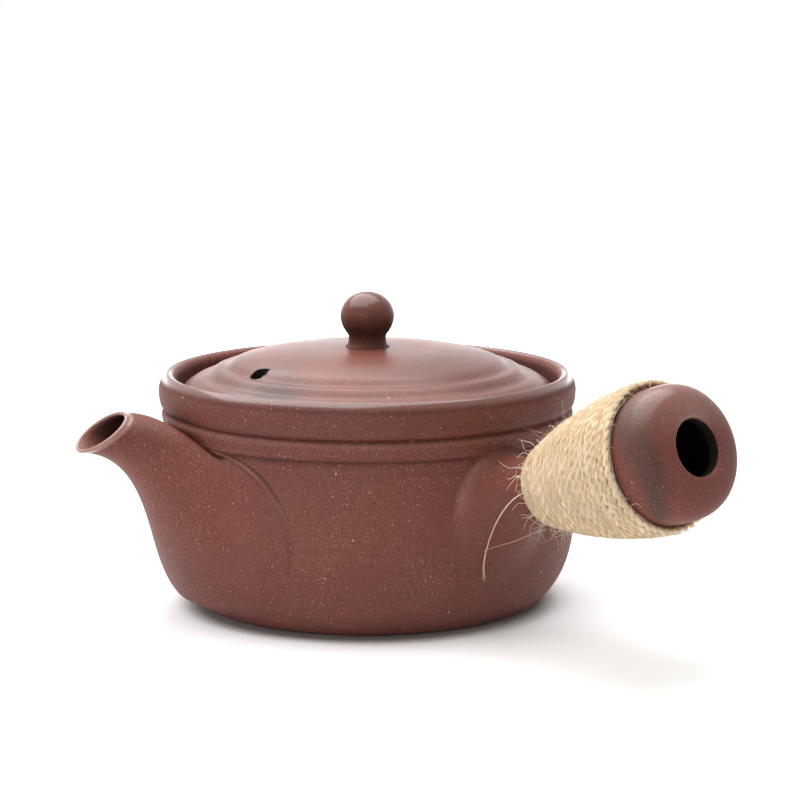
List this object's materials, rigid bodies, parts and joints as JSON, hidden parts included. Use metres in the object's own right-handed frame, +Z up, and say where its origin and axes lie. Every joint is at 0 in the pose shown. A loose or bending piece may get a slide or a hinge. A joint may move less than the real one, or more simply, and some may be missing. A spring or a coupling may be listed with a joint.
{
  "type": "side-handle clay kettle",
  "caption": "Low unglazed clay kettle with a flared side spout, a hollow side handle bound in twine, and a domed lift-off lid with a ball knob.",
  "frame": {"origin": "on the pot's axis at the flat underside", "axes": "+Z up along the pot's axis, the spout points along -X, the handle points mostly along -Y and rises from level"},
  "size_m": [0.1537, 0.1979, 0.0928],
  "materials": {
    "pot_clay": "unglazed, satin",
    "spout_clay": "unglazed, satin",
    "strainer_clay": "unglazed, matte",
    "handle_clay": "unglazed, satin with smoky flashing",
    "jute_twine": "fibrous, matte",
    "lid_clay": "unglazed, satin",
    "knob_clay": "unglazed, satin"
  },
  "bodies": {
    "pot": {"pot_body": "pot_clay", "spout": "spout_clay", "spout_strainer": "strainer_clay", "handle": "handle_clay", "twine_wrap": "jute_twine"},
    "lid": {"lid_dome": "lid_clay", "lid_flange": "lid_clay", "lid_knob": "knob_clay"}
  },
  "joints": [
    {"name": "lid_lift", "type": "slide", "parent": "pot", "child": "lid", "axis": [0, 0, 1], "range_m": [0, 0.06]}
  ]
}
